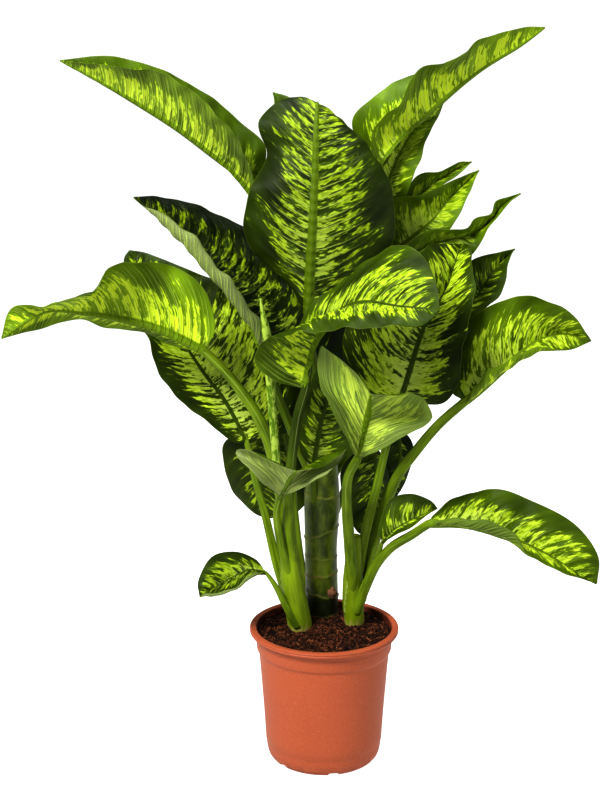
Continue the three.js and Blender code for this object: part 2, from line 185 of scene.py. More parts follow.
def smoothCurve(points, shares):
    # a curve through points given in millimetres, read at even shares of its length
    spots = np.array(points, float) * mm
    spots = np.vstack([2 * spots[0] - spots[1], spots, 2 * spots[-1] - spots[-2]])
    t = np.linspace(0, 1, 40, endpoint=False)[:, None]
    dense = []
    for a, b, c, d in zip(spots[:-3], spots[1:-2], spots[2:-1], spots[3:]):
        dense.append(0.5 * (2 * b + (c - a) * t + (2 * a - 5 * b + 4 * c - d) * t ** 2
                            + (3 * b - a - 3 * c + d) * t ** 3))
    dense = np.vstack([*dense, spots[-2:-1]])
    reach = np.r_[0, np.cumsum(np.linalg.norm(np.diff(dense, axis=0), axis=1))]
    at = np.asarray(shares) * reach[-1]
    return np.stack([np.interp(at, reach, dense[:, k]) for k in range(3)], -1), reach[-1]


def ringFaces(rows, sides, start=0):
    faces = []
    for row in range(rows - 1):
        for side in range(sides):
            a = start + row * sides + side
            b = start + row * sides + (side + 1) % sides
            faces.append((a, b, b + sides, a + sides))
    return faces


def closedFaces(rows, sides, foot, head, start=0):
    # a skin through rings, closed by one point at each end
    faces = ringFaces(rows, sides, start)
    last = start + (rows - 1) * sides
    for side in range(sides):
        nextSide = (side + 1) % sides
        faces.append((foot, start + nextSide, start + side))
        faces.append((head, last + side, last + nextSide))
    return faces


def sweepTube(centres, radii, normal, sides, shape=None):
    # rings along the centres; shape gives each point's share of the radius from its angle and place
    rows = len(centres)
    along = unit(np.gradient(centres, axis=0))
    normals = [unit(normal - along[0] * (normal @ along[0]))]
    for k in range(1, rows):
        n = normals[-1]
        normals.append(unit(n - along[k] * (n @ along[k])))
    normals = np.array(normals)
    others = np.cross(along, normals)
    angle = np.linspace(0, fullTurn, sides, endpoint=False)[None, :]
    distance = np.r_[0, np.cumsum(np.linalg.norm(np.diff(centres, axis=0), axis=1))][:, None]
    share = distance / distance[-1]
    size = np.asarray(radii)[:, None] * (shape(angle, share) if shape else np.ones((rows, sides)))
    points = (centres[:, None, :] + (size * np.cos(angle))[..., None] * normals[:, None, :]
              + (size * np.sin(angle))[..., None] * others[:, None, :])
    skin = np.stack([size * np.cos(angle), size * np.sin(angle), distance + 0 * angle], -1)
    more = np.stack([angle / fullTurn + 0 * share, share + 0 * angle, size], -1)
    points = np.vstack([points.reshape(-1, 3), centres[:1], centres[-1:]])
    skin = np.vstack([skin.reshape(-1, 3), [[0, 0, 0]], [[0, 0, distance[-1, 0]]]])
    more = np.vstack([more.reshape(-1, 3), [[0, 0, 0]], [[0, 1, 0]]])
    faces = closedFaces(rows, sides, rows * sides, rows * sides + 1)
    return points, faces, {"skinPlace": skin, "skinMore": more}


def sweepForm(form, normal, shape):
    # a tube along a form's route, its radii spread evenly over the length
    shares = np.linspace(0, 1, form["rows"])
    centres, _ = smoothCurve(form["route"], shares)
    radii = np.interp(shares, np.linspace(0, 1, len(form["radius"])), form["radius"]) * mm
    return centres, *sweepTube(centres, radii, np.array(normal), form["sides"], shape)


def rings(profile, sides):
    # one ring of points for each radius and height of the profile
    angle = np.linspace(0, fullTurn, sides, endpoint=False)
    return np.vstack([np.stack([radius * np.cos(angle), radius * np.sin(angle), np.full(sides, height)], -1)
                      for radius, height in profile])


studio = {
    "camera": (-0.034, -2.1, 1.05), "cameraTilt": 75.9, "lens": 71.55, "sensor": 36, "farthest": 3000,
    "background": 0.2, "gamma": 0.76,
    # place, aim, size in metres, power in watts
    "lamps": {
        "key": ((-1.5, -1.9, 2.7), (0, 0, 0.55), 1.0, 212),
        "fill": ((2.4, -1.2, 1.6), (0, 0, 0.5), 1.5, 30),
        "top": ((0.3, 0.4, 3.0), (0, 0, 0.4), 1.4, 94),
    },
    # radius and height of each ring, in metres; the far edge sweeps up, so that the floor fills the view
    "floorRings": [(48, 0), (55.2, 0.8), (60, 8)], "floorSides": 96, "floorGlow": 1.0,
    "floorColors": (rgb(122, 122, 121), rgb(128, 128, 127)),
}


def floorPaint():
    paint = Paint("paleFloor")
    at = paint.objectPlace()
    color = paint.mix(paint.noise(at, 2, 0.5, 0, 3), *studio["floorColors"])
    return paint.finish(color, 0.9, paint.noise(at, 3, 0.6, 0, 200), 0.0002,
                        Emission_Color=(1, 1, 1, 1), Emission_Strength=studio["floorGlow"])


def setStudio():
    camera = addObject("camera", bpy.data.cameras.new("camera"))
    camera.location = studio["camera"]
    camera.rotation_euler = (math.radians(studio["cameraTilt"]), 0, 0)
    camera.data.lens = studio["lens"]
    camera.data.sensor_width = studio["sensor"]
    camera.data.clip_end = studio["farthest"]
    scene.camera = camera
    for name, (place, aim, size, power) in studio["lamps"].items():
        lamp = addObject(name + "Lamp", bpy.data.lights.new(name + "Lamp", "AREA"))
        lamp.data.size = size
        lamp.data.energy = power
        lamp.location = place
        lamp.rotation_euler = (Vector(aim) - Vector(place)).to_track_quat("-Z", "Y").to_euler()
    world = bpy.data.worlds.new("studio")
    world.use_nodes = True
    sky = world.node_tree.nodes["Background"].inputs
    sky["Color"].default_value = (1, 1, 1, 1)
    sky["Strength"].default_value = studio["background"]
    scene.world = world
    scene.view_settings.view_transform = "Standard"
    scene.view_settings.gamma = studio["gamma"]


def buildFloor():
    sides = studio["floorSides"]
    points = [[0, 0, 0]] + rings(studio["floorRings"], sides).tolist()
    faces = [(0, 1 + side, 1 + (side + 1) % sides) for side in range(sides)]
    mesh = bpy.data.meshes.new("floor")
    mesh.from_pydata(points, [], faces + ringFaces(len(studio["floorRings"]), sides, 1))
    mesh.materials.append(floorPaint())
    floor = addObject("floor", mesh)


setStudio()
buildFloor()
print("camera, lamps and floor are set")


potForm = {
    "sides": 180, "sharpAngle": 38,
    # radius and height, from the middle of the underside, up the outside, over the rim and down the inside
    "outline": [
        (0, 1.2), (40, 1.2), (62, 1.0), (64, 0), (71, 0), (73.2, 0.3), (74.8, 1.4), (76.0, 3.2),
        (76.9, 4.6), (76.8, 5.4), (78.3, 6.0), (79.2, 8.4), (80.2, 12), (81.0, 16), (81.4, 20),
        (81.9, 25.5), (82.5, 26.6), (83.3, 40), (84.5, 60), (85.8, 80), (87.3, 100), (88.8, 120),
        (90.4, 141), (91.2, 150), (91.6, 156), (91.9, 158.6), (92.6, 160.2), (93.6, 162),
        (94.4, 162.7), (94.9, 164), (95.6, 172), (96.5, 180), (97.2, 186.6), (98.0, 187.5),
        (102.4, 187.5), (103.9, 188.0), (104.6, 189.1), (104.6, 190.2), (104.0, 190.9),
        (103.9, 191.4), (104.5, 192), (104.8, 193), (104.2, 194.3), (102.8, 195), (98, 195),
        (96.4, 194.7), (95.4, 193.8), (95.0, 192), (95.4, 186), (94.0, 175), (93.0, 165),
        (92.2, 163), (90.0, 157), (88.6, 141), (84.0, 80), (79.8, 20), (78.4, 11), (76.2, 5),
        (72.2, 2.5), (0, 2.5),
    ],
    "drains": 6, "firstDrain": -80, "drainRadius": 74, "drainSize": (14, 15, 10), "drainCorner": 0.12,
    # heights and radii in metres between which a tone comes in
    "footFade": (0.002, 0.02), "rimFade": (0.186, 0.19), "insideFade": (0.176, 0.18),
    "insideRadius": (0.0955, 0.0968),
    "plastic": (rgb(151, 77, 47), rgb(161, 85, 53)), "grain": rgb(178, 102, 70), "scuff": rgb(184, 120, 92),
    # inside: the inner wall above the soil, soil dirt and painted shade in one colour
    "footDirt": rgb(96, 42, 24), "rimCrumbs": rgb(60, 26, 16), "inside": rgb(64, 26, 14),
}


def potPaint():
    paint = Paint("terracottaPlastic")
    at = paint.objectPlace()
    x, y, z = paint.split(at)
    cloud = paint.noise(at, 3, 0.6, 0, 14)
    grain = paint.noise(at, 2, 0.5, 0, 420)
    scuff = paint.step(paint.noise(paint.place(x * 60, y * 60, z * 260), 4, 0.65), 0.6, 0.72)
    foot = 1.0 - paint.step(z, *potForm["footFade"])
    dirt = paint.step(paint.noise(at, 4, 0.7, 0, 60), 0.45, 0.65) * foot
    crumbs = paint.step(paint.noise(at, 3, 0.6, 0, 150), 0.66, 0.72) * paint.step(z, *potForm["rimFade"])
    # the inner wall above the soil is darkened by patches of soil dirt and by painted shade
    dampAndShade = 0.5 + paint.step(paint.noise(at, 4, 0.7, 0, 70), 0.4, 0.6) * 0.4
    within = 1.0 - paint.step((x * x + y * y) ** 0.5, *potForm["insideRadius"])
    color = paint.layers(paint.mix(cloud, *potForm["plastic"]), [
        (paint.step(grain, 0.35, 0.75) * 0.3, potForm["grain"]), (scuff * 0.25, potForm["scuff"]),
        (dirt * 0.5, potForm["footDirt"]), (crumbs * 0.8, potForm["rimCrumbs"]),
        (within * dampAndShade * paint.step(z, *potForm["insideFade"]), potForm["inside"]),
    ])
    height = grain * 0.5 + cloud * 0.5 + scuff * 0.3
    return paint.finish(color, 0.46 + cloud * 0.12 + scuff * 0.1, height, 0.00022, Specular_IOR_Level=0.25)


def cutDrains(pot):
    reach = potForm["drainRadius"] * mm
    for hole in range(potForm["drains"]):
        angle = math.radians(potForm["firstDrain"] + 360 * hole / potForm["drains"])
        shape = bmesh.new()
        bmesh.ops.create_cube(shape, size=1)
        bmesh.ops.bevel(shape, geom=shape.edges[:], offset=potForm["drainCorner"], segments=3,
                        affect="EDGES")
        mesh = bpy.data.meshes.new("drainCutter")
        shape.to_mesh(mesh)
        shape.free()
        cutter = addObject("drainCutter", mesh)
        cutter.scale = [size * mm for size in potForm["drainSize"]]
        cutter.location = (reach * math.cos(angle), reach * math.sin(angle), 0)
        cutter.rotation_euler.z = angle
        cut = pot.modifiers.new("drain", "BOOLEAN")
        cut.object = cutter
        cut.operation = "DIFFERENCE"
        bpy.context.view_layer.update()
        carved = bpy.data.meshes.new_from_object(pot.evaluated_get(bpy.context.evaluated_depsgraph_get()))
        pot.modifiers.clear()
        pot.data = carved
        bpy.data.objects.remove(cutter)


def buildPot():
    outline, sides = np.array(potForm["outline"]) * mm, potForm["sides"]
    points = np.vstack([[[0, 0, outline[0, 1]]], rings(outline[1:-1], sides), [[0, 0, outline[-1, 1]]]])
    faces = closedFaces(len(outline) - 2, sides, 0, len(points) - 1, 1)
    pot = makePiece("nurseryPot", points, faces, [potPaint()], ["pot"])
    cutDrains(pot)
    pot.data.shade_smooth()
    pot.data.set_sharp_from_angle(angle=math.radians(potForm["sharpAngle"]))


buildPot()
print("pot is made")


soilForm = {
    "rows": 84, "sides": 260, "edgeRadius": 94.7, "edgeHeight": 184.5, "crown": 6,
    "lumps": (4.2, 3, 0.05), "grit": (2.6, 8, 0.013),  # height in mm, seed and size in metres
    "walls": [(93.4, 176), (91.6, 163), (83, 80), (77, 14), (74, 3.2)],  # radius and height, downwards
    "earth": (rgb(16, 8, 4), rgb(62, 32, 18)), "gritColor": rgb(112, 62, 38),
}

# sizes in millimetres
litterForm = {
    "crumbs": {"count": 1900, "seed": 11, "sizes": [1.5, 2.4, 4.0], "odds": [0.5, 0.35, 0.15],
               "colors": (rgb(24, 12, 7), rgb(100, 58, 36))},
    "fibre": {"count": 380, "seed": 12, "length": (6, 24), "bend": 1.4, "lift": 2.6, "thick": (0.16, 0.42),
              "taper": [0.5, 0.9, 1, 1, 0.95, 0.8, 0.35], "sides": 5, "reach": 0.93,
              "colors": (rgb(66, 32, 18), rgb(156, 98, 60))},
    "bark": {"count": 200, "seed": 13, "long": (3, 8), "wide": (1.2, 3), "thick": (0.5, 1.2), "tilt": 0.5,
             "outline": [(-1, -0.3), (-0.6, -1), (0.5, -0.8), (1, 0.1), (0.5, 0.9), (-0.7, 0.8)],
             "colors": (rgb(50, 26, 16), rgb(132, 84, 52))},
}


def soilPaint():
    paint = Paint("pottingMix")
    at = paint.objectPlace()
    clump = paint.noise(at, 4, 0.65, 0.3, 90)
    grit = paint.noise(at, 4, 0.7, 0, 420)
    color = paint.mix(paint.step(clump, 0.35, 0.68), *soilForm["earth"])
    color = paint.mix(paint.step(grit, 0.56, 0.72) * 0.8, color, soilForm["gritColor"])
    return paint.finish(color, 0.85 + grit * 0.1, grit + clump, 0.003, Specular_IOR_Level=0.15)


def litterPaint(kind):
    paint = Paint(kind)
    at = paint.objectPlace()
    streak = paint.noise(at, 3, 0.6, 0, 900)
    color = paint.mix(paint.step(paint.noise(at, 2, 0.6, 0, 130), 0.38, 0.66), *litterForm[kind]["colors"])
    return paint.finish(color, 0.75 + streak * 0.15, streak, 0.0003, Specular_IOR_Level=0.12)


def hills(x, y, seed, size):
    # a cheap smooth noise made of a few crossed waves
    made = 0
    rng = np.random.default_rng(seed)
    for octave in range(5):
        for _ in range(4):
            angle, phase = rng.uniform(0, fullTurn, 2)
            pitch = size / 1.9 ** octave
            run = (x * math.cos(angle) + y * math.sin(angle)) * fullTurn / pitch
            made = made + np.sin(run + phase) / 1.7 ** octave
    return made / 5


def soilHeight(x, y):
    radius = np.hypot(x, y) / (soilForm["edgeRadius"] * mm)
    dome = soilForm["edgeHeight"] + soilForm["crown"] * (1 - radius ** 2)
    lumps = sum(height * hills(x, y, seed, size)
                for height, seed, size in (soilForm["lumps"], soilForm["grit"]))
    return (dome + lumps * (1 - 0.5 * radius ** 6)) * mm


def buildSoil():
    rows, sides, walls = soilForm["rows"], soilForm["sides"], np.array(soilForm["walls"]) * mm
    top = rings([(share * soilForm["edgeRadius"] * mm, 0) for share in np.linspace(0.01, 1, rows)], sides)
    top[:, 2] = soilHeight(top[:, 0], top[:, 1])
    points = np.vstack([top, rings(walls, sides), [[0, 0, soilHeight(0, 0)]], [[0, 0, walls[-1, 1]]]])
    rows += len(walls)
    faces = [face[::-1] for face in closedFaces(rows, sides, rows * sides, rows * sides + 1)]
    makePiece("pottingMix", points, faces, [soilPaint()], ["soil"])


def onSoil(rng, reach=0.97):
    spot = rng.uniform(0, 1) ** 0.5 * reach * soilForm["edgeRadius"] * mm
    angle = rng.uniform(0, fullTurn)
    return np.array([spot * math.cos(angle), spot * math.sin(angle)])


def buildLitter(name, kind, makeOne):
    # many small bodies in one piece; makeOne gives the points and faces of each
    form = litterForm[kind]
    rng = np.random.default_rng(form["seed"])
    points, faces = [], []
    for _ in range(form["count"]):
        spots, hull = makeOne(form, rng)
        faces += [[i + len(points) for i in face] for face in hull]
        points += list(spots)
    makePiece(name, points, faces, [litterPaint(kind)])


def ballShape():
    lump = bmesh.new()
    bmesh.ops.create_icosphere(lump, subdivisions=1, radius=1)
    ball = np.array([v.co for v in lump.verts])
    hull = [[v.index for v in f.verts] for f in lump.faces]
    lump.free()
    return ball, hull


def makeCrumb(form, rng):
    x, y = onSoil(rng)
    size = rng.uniform(0.6, 1.0) ** 2 * rng.choice(form["sizes"], p=form["odds"]) * mm
    stretch = rng.uniform(0.55, 1.3, 3)
    wobble = rng.uniform(0.75, 1.25, (len(crumbBall), 1))
    place = np.array([x, y, float(soilHeight(x, y)) + size * rng.uniform(-0.3, 0.5)])
    return crumbBall * wobble * stretch * size + place, crumbHull


def makeFibre(form, rng):
    x, y = onSoil(rng, form["reach"])
    length = rng.uniform(*form["length"]) * mm
    heading = rng.uniform(0, fullTurn)
    bend = rng.uniform(-form["bend"], form["bend"])
    lift = rng.uniform(0, form["lift"]) * mm
    thick = rng.uniform(*form["thick"]) * mm
    steps = len(form["taper"]) - 1
    spots = []
    for k in range(steps + 1):
        turn = heading + bend * k / steps
        x, y = x + math.cos(turn) * length / steps, y + math.sin(turn) * length / steps
        if math.hypot(x, y) > form["reach"] * soilForm["edgeRadius"] * mm:
            x, y = x * 0.96, y * 0.96  # keeps it off the pot's wall
        spots.append((x, y, float(soilHeight(x, y)) + thick + lift * math.sin(math.pi * k / steps) ** 2))
    radii = thick * np.array(form["taper"])
    return sweepTube(np.array(spots), radii, np.array([0, 0, 1.0]), form["sides"])[:2]


def makeChip(form, rng):
    # a flat splinter: its outline below, again above, and the wall between
    x, y = onSoil(rng)
    long, wide, thick = [rng.uniform(*form[key]) * mm for key in ("long", "wide", "thick")]
    turn, tilt = rng.uniform(0, math.pi), rng.uniform(-form["tilt"], form["tilt"])
    place = np.array([x, y, float(soilHeight(x, y)) + thick * 0.6])
    along = np.array([math.cos(turn), math.sin(turn), tilt])
    side = np.array([-math.sin(turn), math.cos(turn), rng.uniform(-0.4, 0.4)])
    corners = len(form["outline"])
    jitter = rng.uniform(0.8, 1.2, (corners, 2))
    spots = [place + along * u * ju * long / 2 + side * v * jv * wide / 2 + np.array([0, 0, layer * thick])
             for layer in (0, 1) for (u, v), (ju, jv) in zip(form["outline"], jitter)]
    hull = [list(range(corners))[::-1], list(range(corners, 2 * corners))]
    for i in range(corners):
        j = (i + 1) % corners
        hull.append([i, j, corners + j, corners + i])
    return spots, hull


buildSoil()
crumbBall, crumbHull = ballShape()
buildLitter("soilCrumbs", "crumbs", makeCrumb)
buildLitter("rootFibres", "fibre", makeFibre)
buildLitter("barkChips", "bark", makeChip)
print("soil is made")


stemForm = {
    "cane": {
        "route": [(-2, 62, 150), (-2, 61, 210), (-4, 58, 290), (-3, 56, 365), (-3, 52, 440), (-3, 50, 500)],
        "radius": [24, 23.5, 22.5, 25, 21, 13], "sides": 96, "rows": 190,
        # leaf scars: height, slope to the right, how far the ring stands out, how brown it is
        "rings": [(191, 0.02, 0.5, 1.0), (222, -0.22, 1.3, 0.45), (253, 0.1, 1.0, 1.0),
                  (279, -0.05, 0.7, 0.25), (318, 0.38, 1.1, 0.3), (372, -0.1, 0.9, 0.35),
                  (430, 0.2, 0.8, 0.2)],
        "knot": (17, 36, 337, 5, 9),  # a dormant bud under the skin: place, height it stands out, size
        # painted shade: below these heights the cane's skin darkens to the dark colour
        "paintedShadeBelow": (0.212, 0.226),
        "skin": (rgb(50, 64, 3), rgb(104, 120, 12)), "grain": rgb(116, 128, 46), "dark": rgb(6, 13, 7),
        "scar": rgb(128, 136, 62), "torn": rgb(128, 78, 48),
    },
    # wraps of each shoot: start, climb, step, and the shares between which the edge shows
    "left_shoot": {
        "route": [(-33, 10, 155), (-35, 6, 193), (-41, 3, 230), (-47, 2, 270), (-50, 2, 305),
                  (-52, 1, 340)],
        "radius": [15.5, 17, 16.5, 14.5, 12, 8.5], "sides": 72, "rows": 110,
        "wraps": [(0.56, 0.9, 0.16, 0.02, 0.62), (0.80, -0.7, 0.12, 0.35, 1.0)],
    },
    "right_shoot": {
        "route": [(43, 24, 155), (43, 22, 190), (41, 18, 228), (41, 14, 265), (42, 10, 295), (43, 8, 325)],
        "radius": [13, 14, 14, 13.5, 11.5, 8], "sides": 72, "rows": 110,
        "wraps": [(0.70, -0.8, 0.15, 0.0, 0.7), (0.84, 0.7, 0.12, 0.3, 1.0)],
    },
    "shootSkin": {
        "skin": (rgb(92, 112, 5), rgb(121, 141, 11)), "grain": rgb(134, 156, 38),
        "edge": rgb(160, 176, 104), "foot": rgb(150, 142, 76), "footHeight": 0.199,
    },
}


def canePaint():
    paint = Paint("caneSkin")
    look = stemForm["cane"]
    ring, brown, height = paint.attribute("caneMark")
    grain = paint.skinNoise(260, 40, 3, 0.6)
    patch = paint.skinNoise(40, 22, 3, 0.6)
    # painted shade on the cane's lowest part, near the soil and between the shoots
    low = 1.0 - paint.step(height, *look["paintedShadeBelow"])
    torn = paint.step(paint.skinNoise(45, 0), 0.44, 0.52)
    color = paint.layers(paint.mix(paint.step(patch, 0.36, 0.66), *look["skin"]), [
        (paint.step(grain, 0.5, 0.75) * 0.35, look["grain"]), (low * 0.85, look["dark"]),
        (ring * 0.7, look["scar"]), (brown * torn * ring, look["torn"]),
    ])
    return paint.finish(color, 0.3 + grain * 0.2 + ring * 0.2, grain * 0.6 + patch * 0.4, 0.0008,
                        Specular_IOR_Level=0.3)


def shootPaint():
    paint = Paint("shootSkin")
    look = stemForm["shootSkin"]
    edge, foot = paint.attribute("shootMark")[:2]
    grain = paint.skinNoise(420, 26, 3, 0.55)
    color = paint.layers(paint.mix(paint.step(paint.skinNoise(50, 18), 0.3, 0.7), *look["skin"]), [
        (paint.step(grain, 0.45, 0.72) * 0.45, look["grain"]), (edge * 0.7, look["edge"]),
        (foot * 0.8, look["foot"]),
    ])
    return paint.finish(color, 0.42 + grain * 0.15, grain, 0.0005, Specular_IOR_Level=0.14)


def oval(angle, share):
    # the cane is a little out of round, and turns as it climbs
    return 1 + 0.02 * np.cos(2 * angle + 5 * share) + 0.012 * np.cos(3 * angle - 9 * share)


def buildCane():
    form = stemForm["cane"]
    centres, points, faces, places = sweepForm(form, (0, -1.0, 0), oval)
    axis = centres[np.clip(np.arange(len(points)) // form["sides"], 0, len(centres) - 1)]
    outward = unit(points - axis)
    heading = np.arctan2(outward[:, 1], outward[:, 0])
    marks = np.zeros_like(points)
    stand = np.zeros(len(points))
    for height, slope, out, brown in form["rings"]:
        level = height * mm + slope * points[:, 0] + 0.0007 * np.sin(7 * heading + height)
        gap = (points[:, 2] - level) / mm
        near = np.exp(-(gap / 1.1) ** 2)
        shoulder = 0.45 * np.exp(-np.maximum(-gap, 0) / 9) * (gap < 0)
        stand += out * (np.exp(-(gap / 1.6) ** 2) + shoulder) * mm
        marks[:, 0] = np.maximum(marks[:, 0], near)
        marks[:, 1] = np.where(near > 0.2, brown, marks[:, 1])
    *knot, knotOut, knotSize = form["knot"]
    away = np.linalg.norm((points - np.array(knot) * mm) * [1, 1, 0.7], axis=1) / (knotSize * mm)
    stand += knotOut * mm * np.exp(-away ** 2)
    points[:-2] += (outward * stand[:, None])[:-2]
    marks[:, 2] = points[:, 2]
    places["caneMark"] = marks
    makePiece("thickCane", points, faces, [canePaint()], ["cane"], places)


def buildShoot(node, name):
    # a shoot is a roll of leaf sheaths: each wrap leaves one raised edge that climbs round it
    edges = []

    def rolled(angle, share):
        size = 1 + 0.015 * np.cos(3 * angle + 4 * share) - 0.05 * np.exp(-(share / 0.05) ** 2)
        for start, climb, step, low, high in stemForm[node]["wraps"]:
            place = (angle / fullTurn - start - climb * (share - low) * 0.35) % 1
            inside = np.clip((share - low) / 0.03, 0, 1) * np.clip((high - share) / 0.15, 0, 1)
            size = size + step * place ** 3 * inside
            edges.append(np.exp(-((1 - place) / 0.018) ** 2) * inside)
        return size

    _, points, faces, places = sweepForm(stemForm[node], (0, -1.0, 0), rolled)
    edge = np.r_[np.maximum.reduce(edges).ravel(), 0, 0]
    footTop = stemForm["shootSkin"]["footHeight"] + 0.004 * np.sin(points[:, 0] * 700)
    foot = np.clip((footTop - points[:, 2]) / 0.008, 0, 1)
    places["shootMark"] = np.stack([edge, foot, 0 * foot], -1)
    makePiece(name, points, faces, [shootPaint()], [node], places)


buildCane()
buildShoot("left_shoot", "leftShoot")
buildShoot("right_shoot", "rightShoot")
print("stems are made")


budForm = {
    "route": [(12, 43, 225), (12, 36, 228), (12, 31, 234), (12.5, 31, 241)],
    "radius": [5, 7.2, 6.6, 1.2], "radiusAt": [0, 0.33, 0.66, 1], "sides": 40, "rows": 30,
    "scale": (rgb(76, 42, 22), rgb(140, 98, 62)),
}

spearForm = {
    "route": [(-60, -2, 395), (-65, -8, 435), (-69, -13, 483), (-74, -18, 547), (-78, -20, 610),
              (-87, -24, 667)],
    "radius": [6.5, 6.8, 6.6, 6.4, 6.6, 6.4, 1.2], "sides": 48, "rows": 120, "rollStep": 0.25,
    "leaf": (rgb(82, 110, 12), rgb(150, 170, 70)), "edge": rgb(170, 184, 110),
}


def budPaint():
    paint = Paint("budScale")
    dry = paint.skinNoise(500, 160, 4, 0.65)
    color = paint.mix(paint.step(dry, 0.35, 0.7), *budForm["scale"])
    return paint.finish(color, 0.7 + dry * 0.2, dry, 0.0007)


def spearPaint():
    paint = Paint("rolledLeaf")
    angle = paint.attribute("skinMore")[0]
    streak = paint.skinNoise(150, 75, 3, 0.6)
    color = paint.mix(paint.step(streak, 0.42, 0.56), *spearForm["leaf"])
    color = paint.mix(paint.step(angle, 0.95, 1.0), color, spearForm["edge"])
    return paint.finish(color, 0.45, streak, 0.0005, Specular_IOR_Level=0.14)


def scaly(angle, share):
    return (1 + 0.05 * np.cos(9 * angle) * np.sin(math.pi * share)
            + 0.07 * np.cos(share * 26 + 2 * np.cos(angle)))


def spiral(angle, share):
    # one edge of the rolled leaf climbs round the outside
    return 0.8 + spearForm["rollStep"] * ((angle / fullTurn - 0.35 * share) % 1)


def buildBud():
    shares = np.linspace(0, 1, budForm["rows"])
    centres, _ = smoothCurve(budForm["route"], shares)
    blunt = np.sqrt(1 - np.clip(shares - 0.6, 0, 1) ** 2 * 5.6)
    radii = np.interp(shares, budForm["radiusAt"], budForm["radius"]) * mm * blunt
    points, faces, places = sweepTube(centres, radii, np.array([0, -1.0, 0.2]), budForm["sides"], scaly)
    makePiece("dormantBud", points, faces, [budPaint()], ["bud"], places)


def buildSpear():
    _, points, faces, places = sweepForm(spearForm, (0.5, -1.0, 0), spiral)
    makePiece("rolledLeaf", points, faces, [spearPaint()], ["spear"], places)


buildBud()
buildSpear()
print("bud and rolled leaf are made")
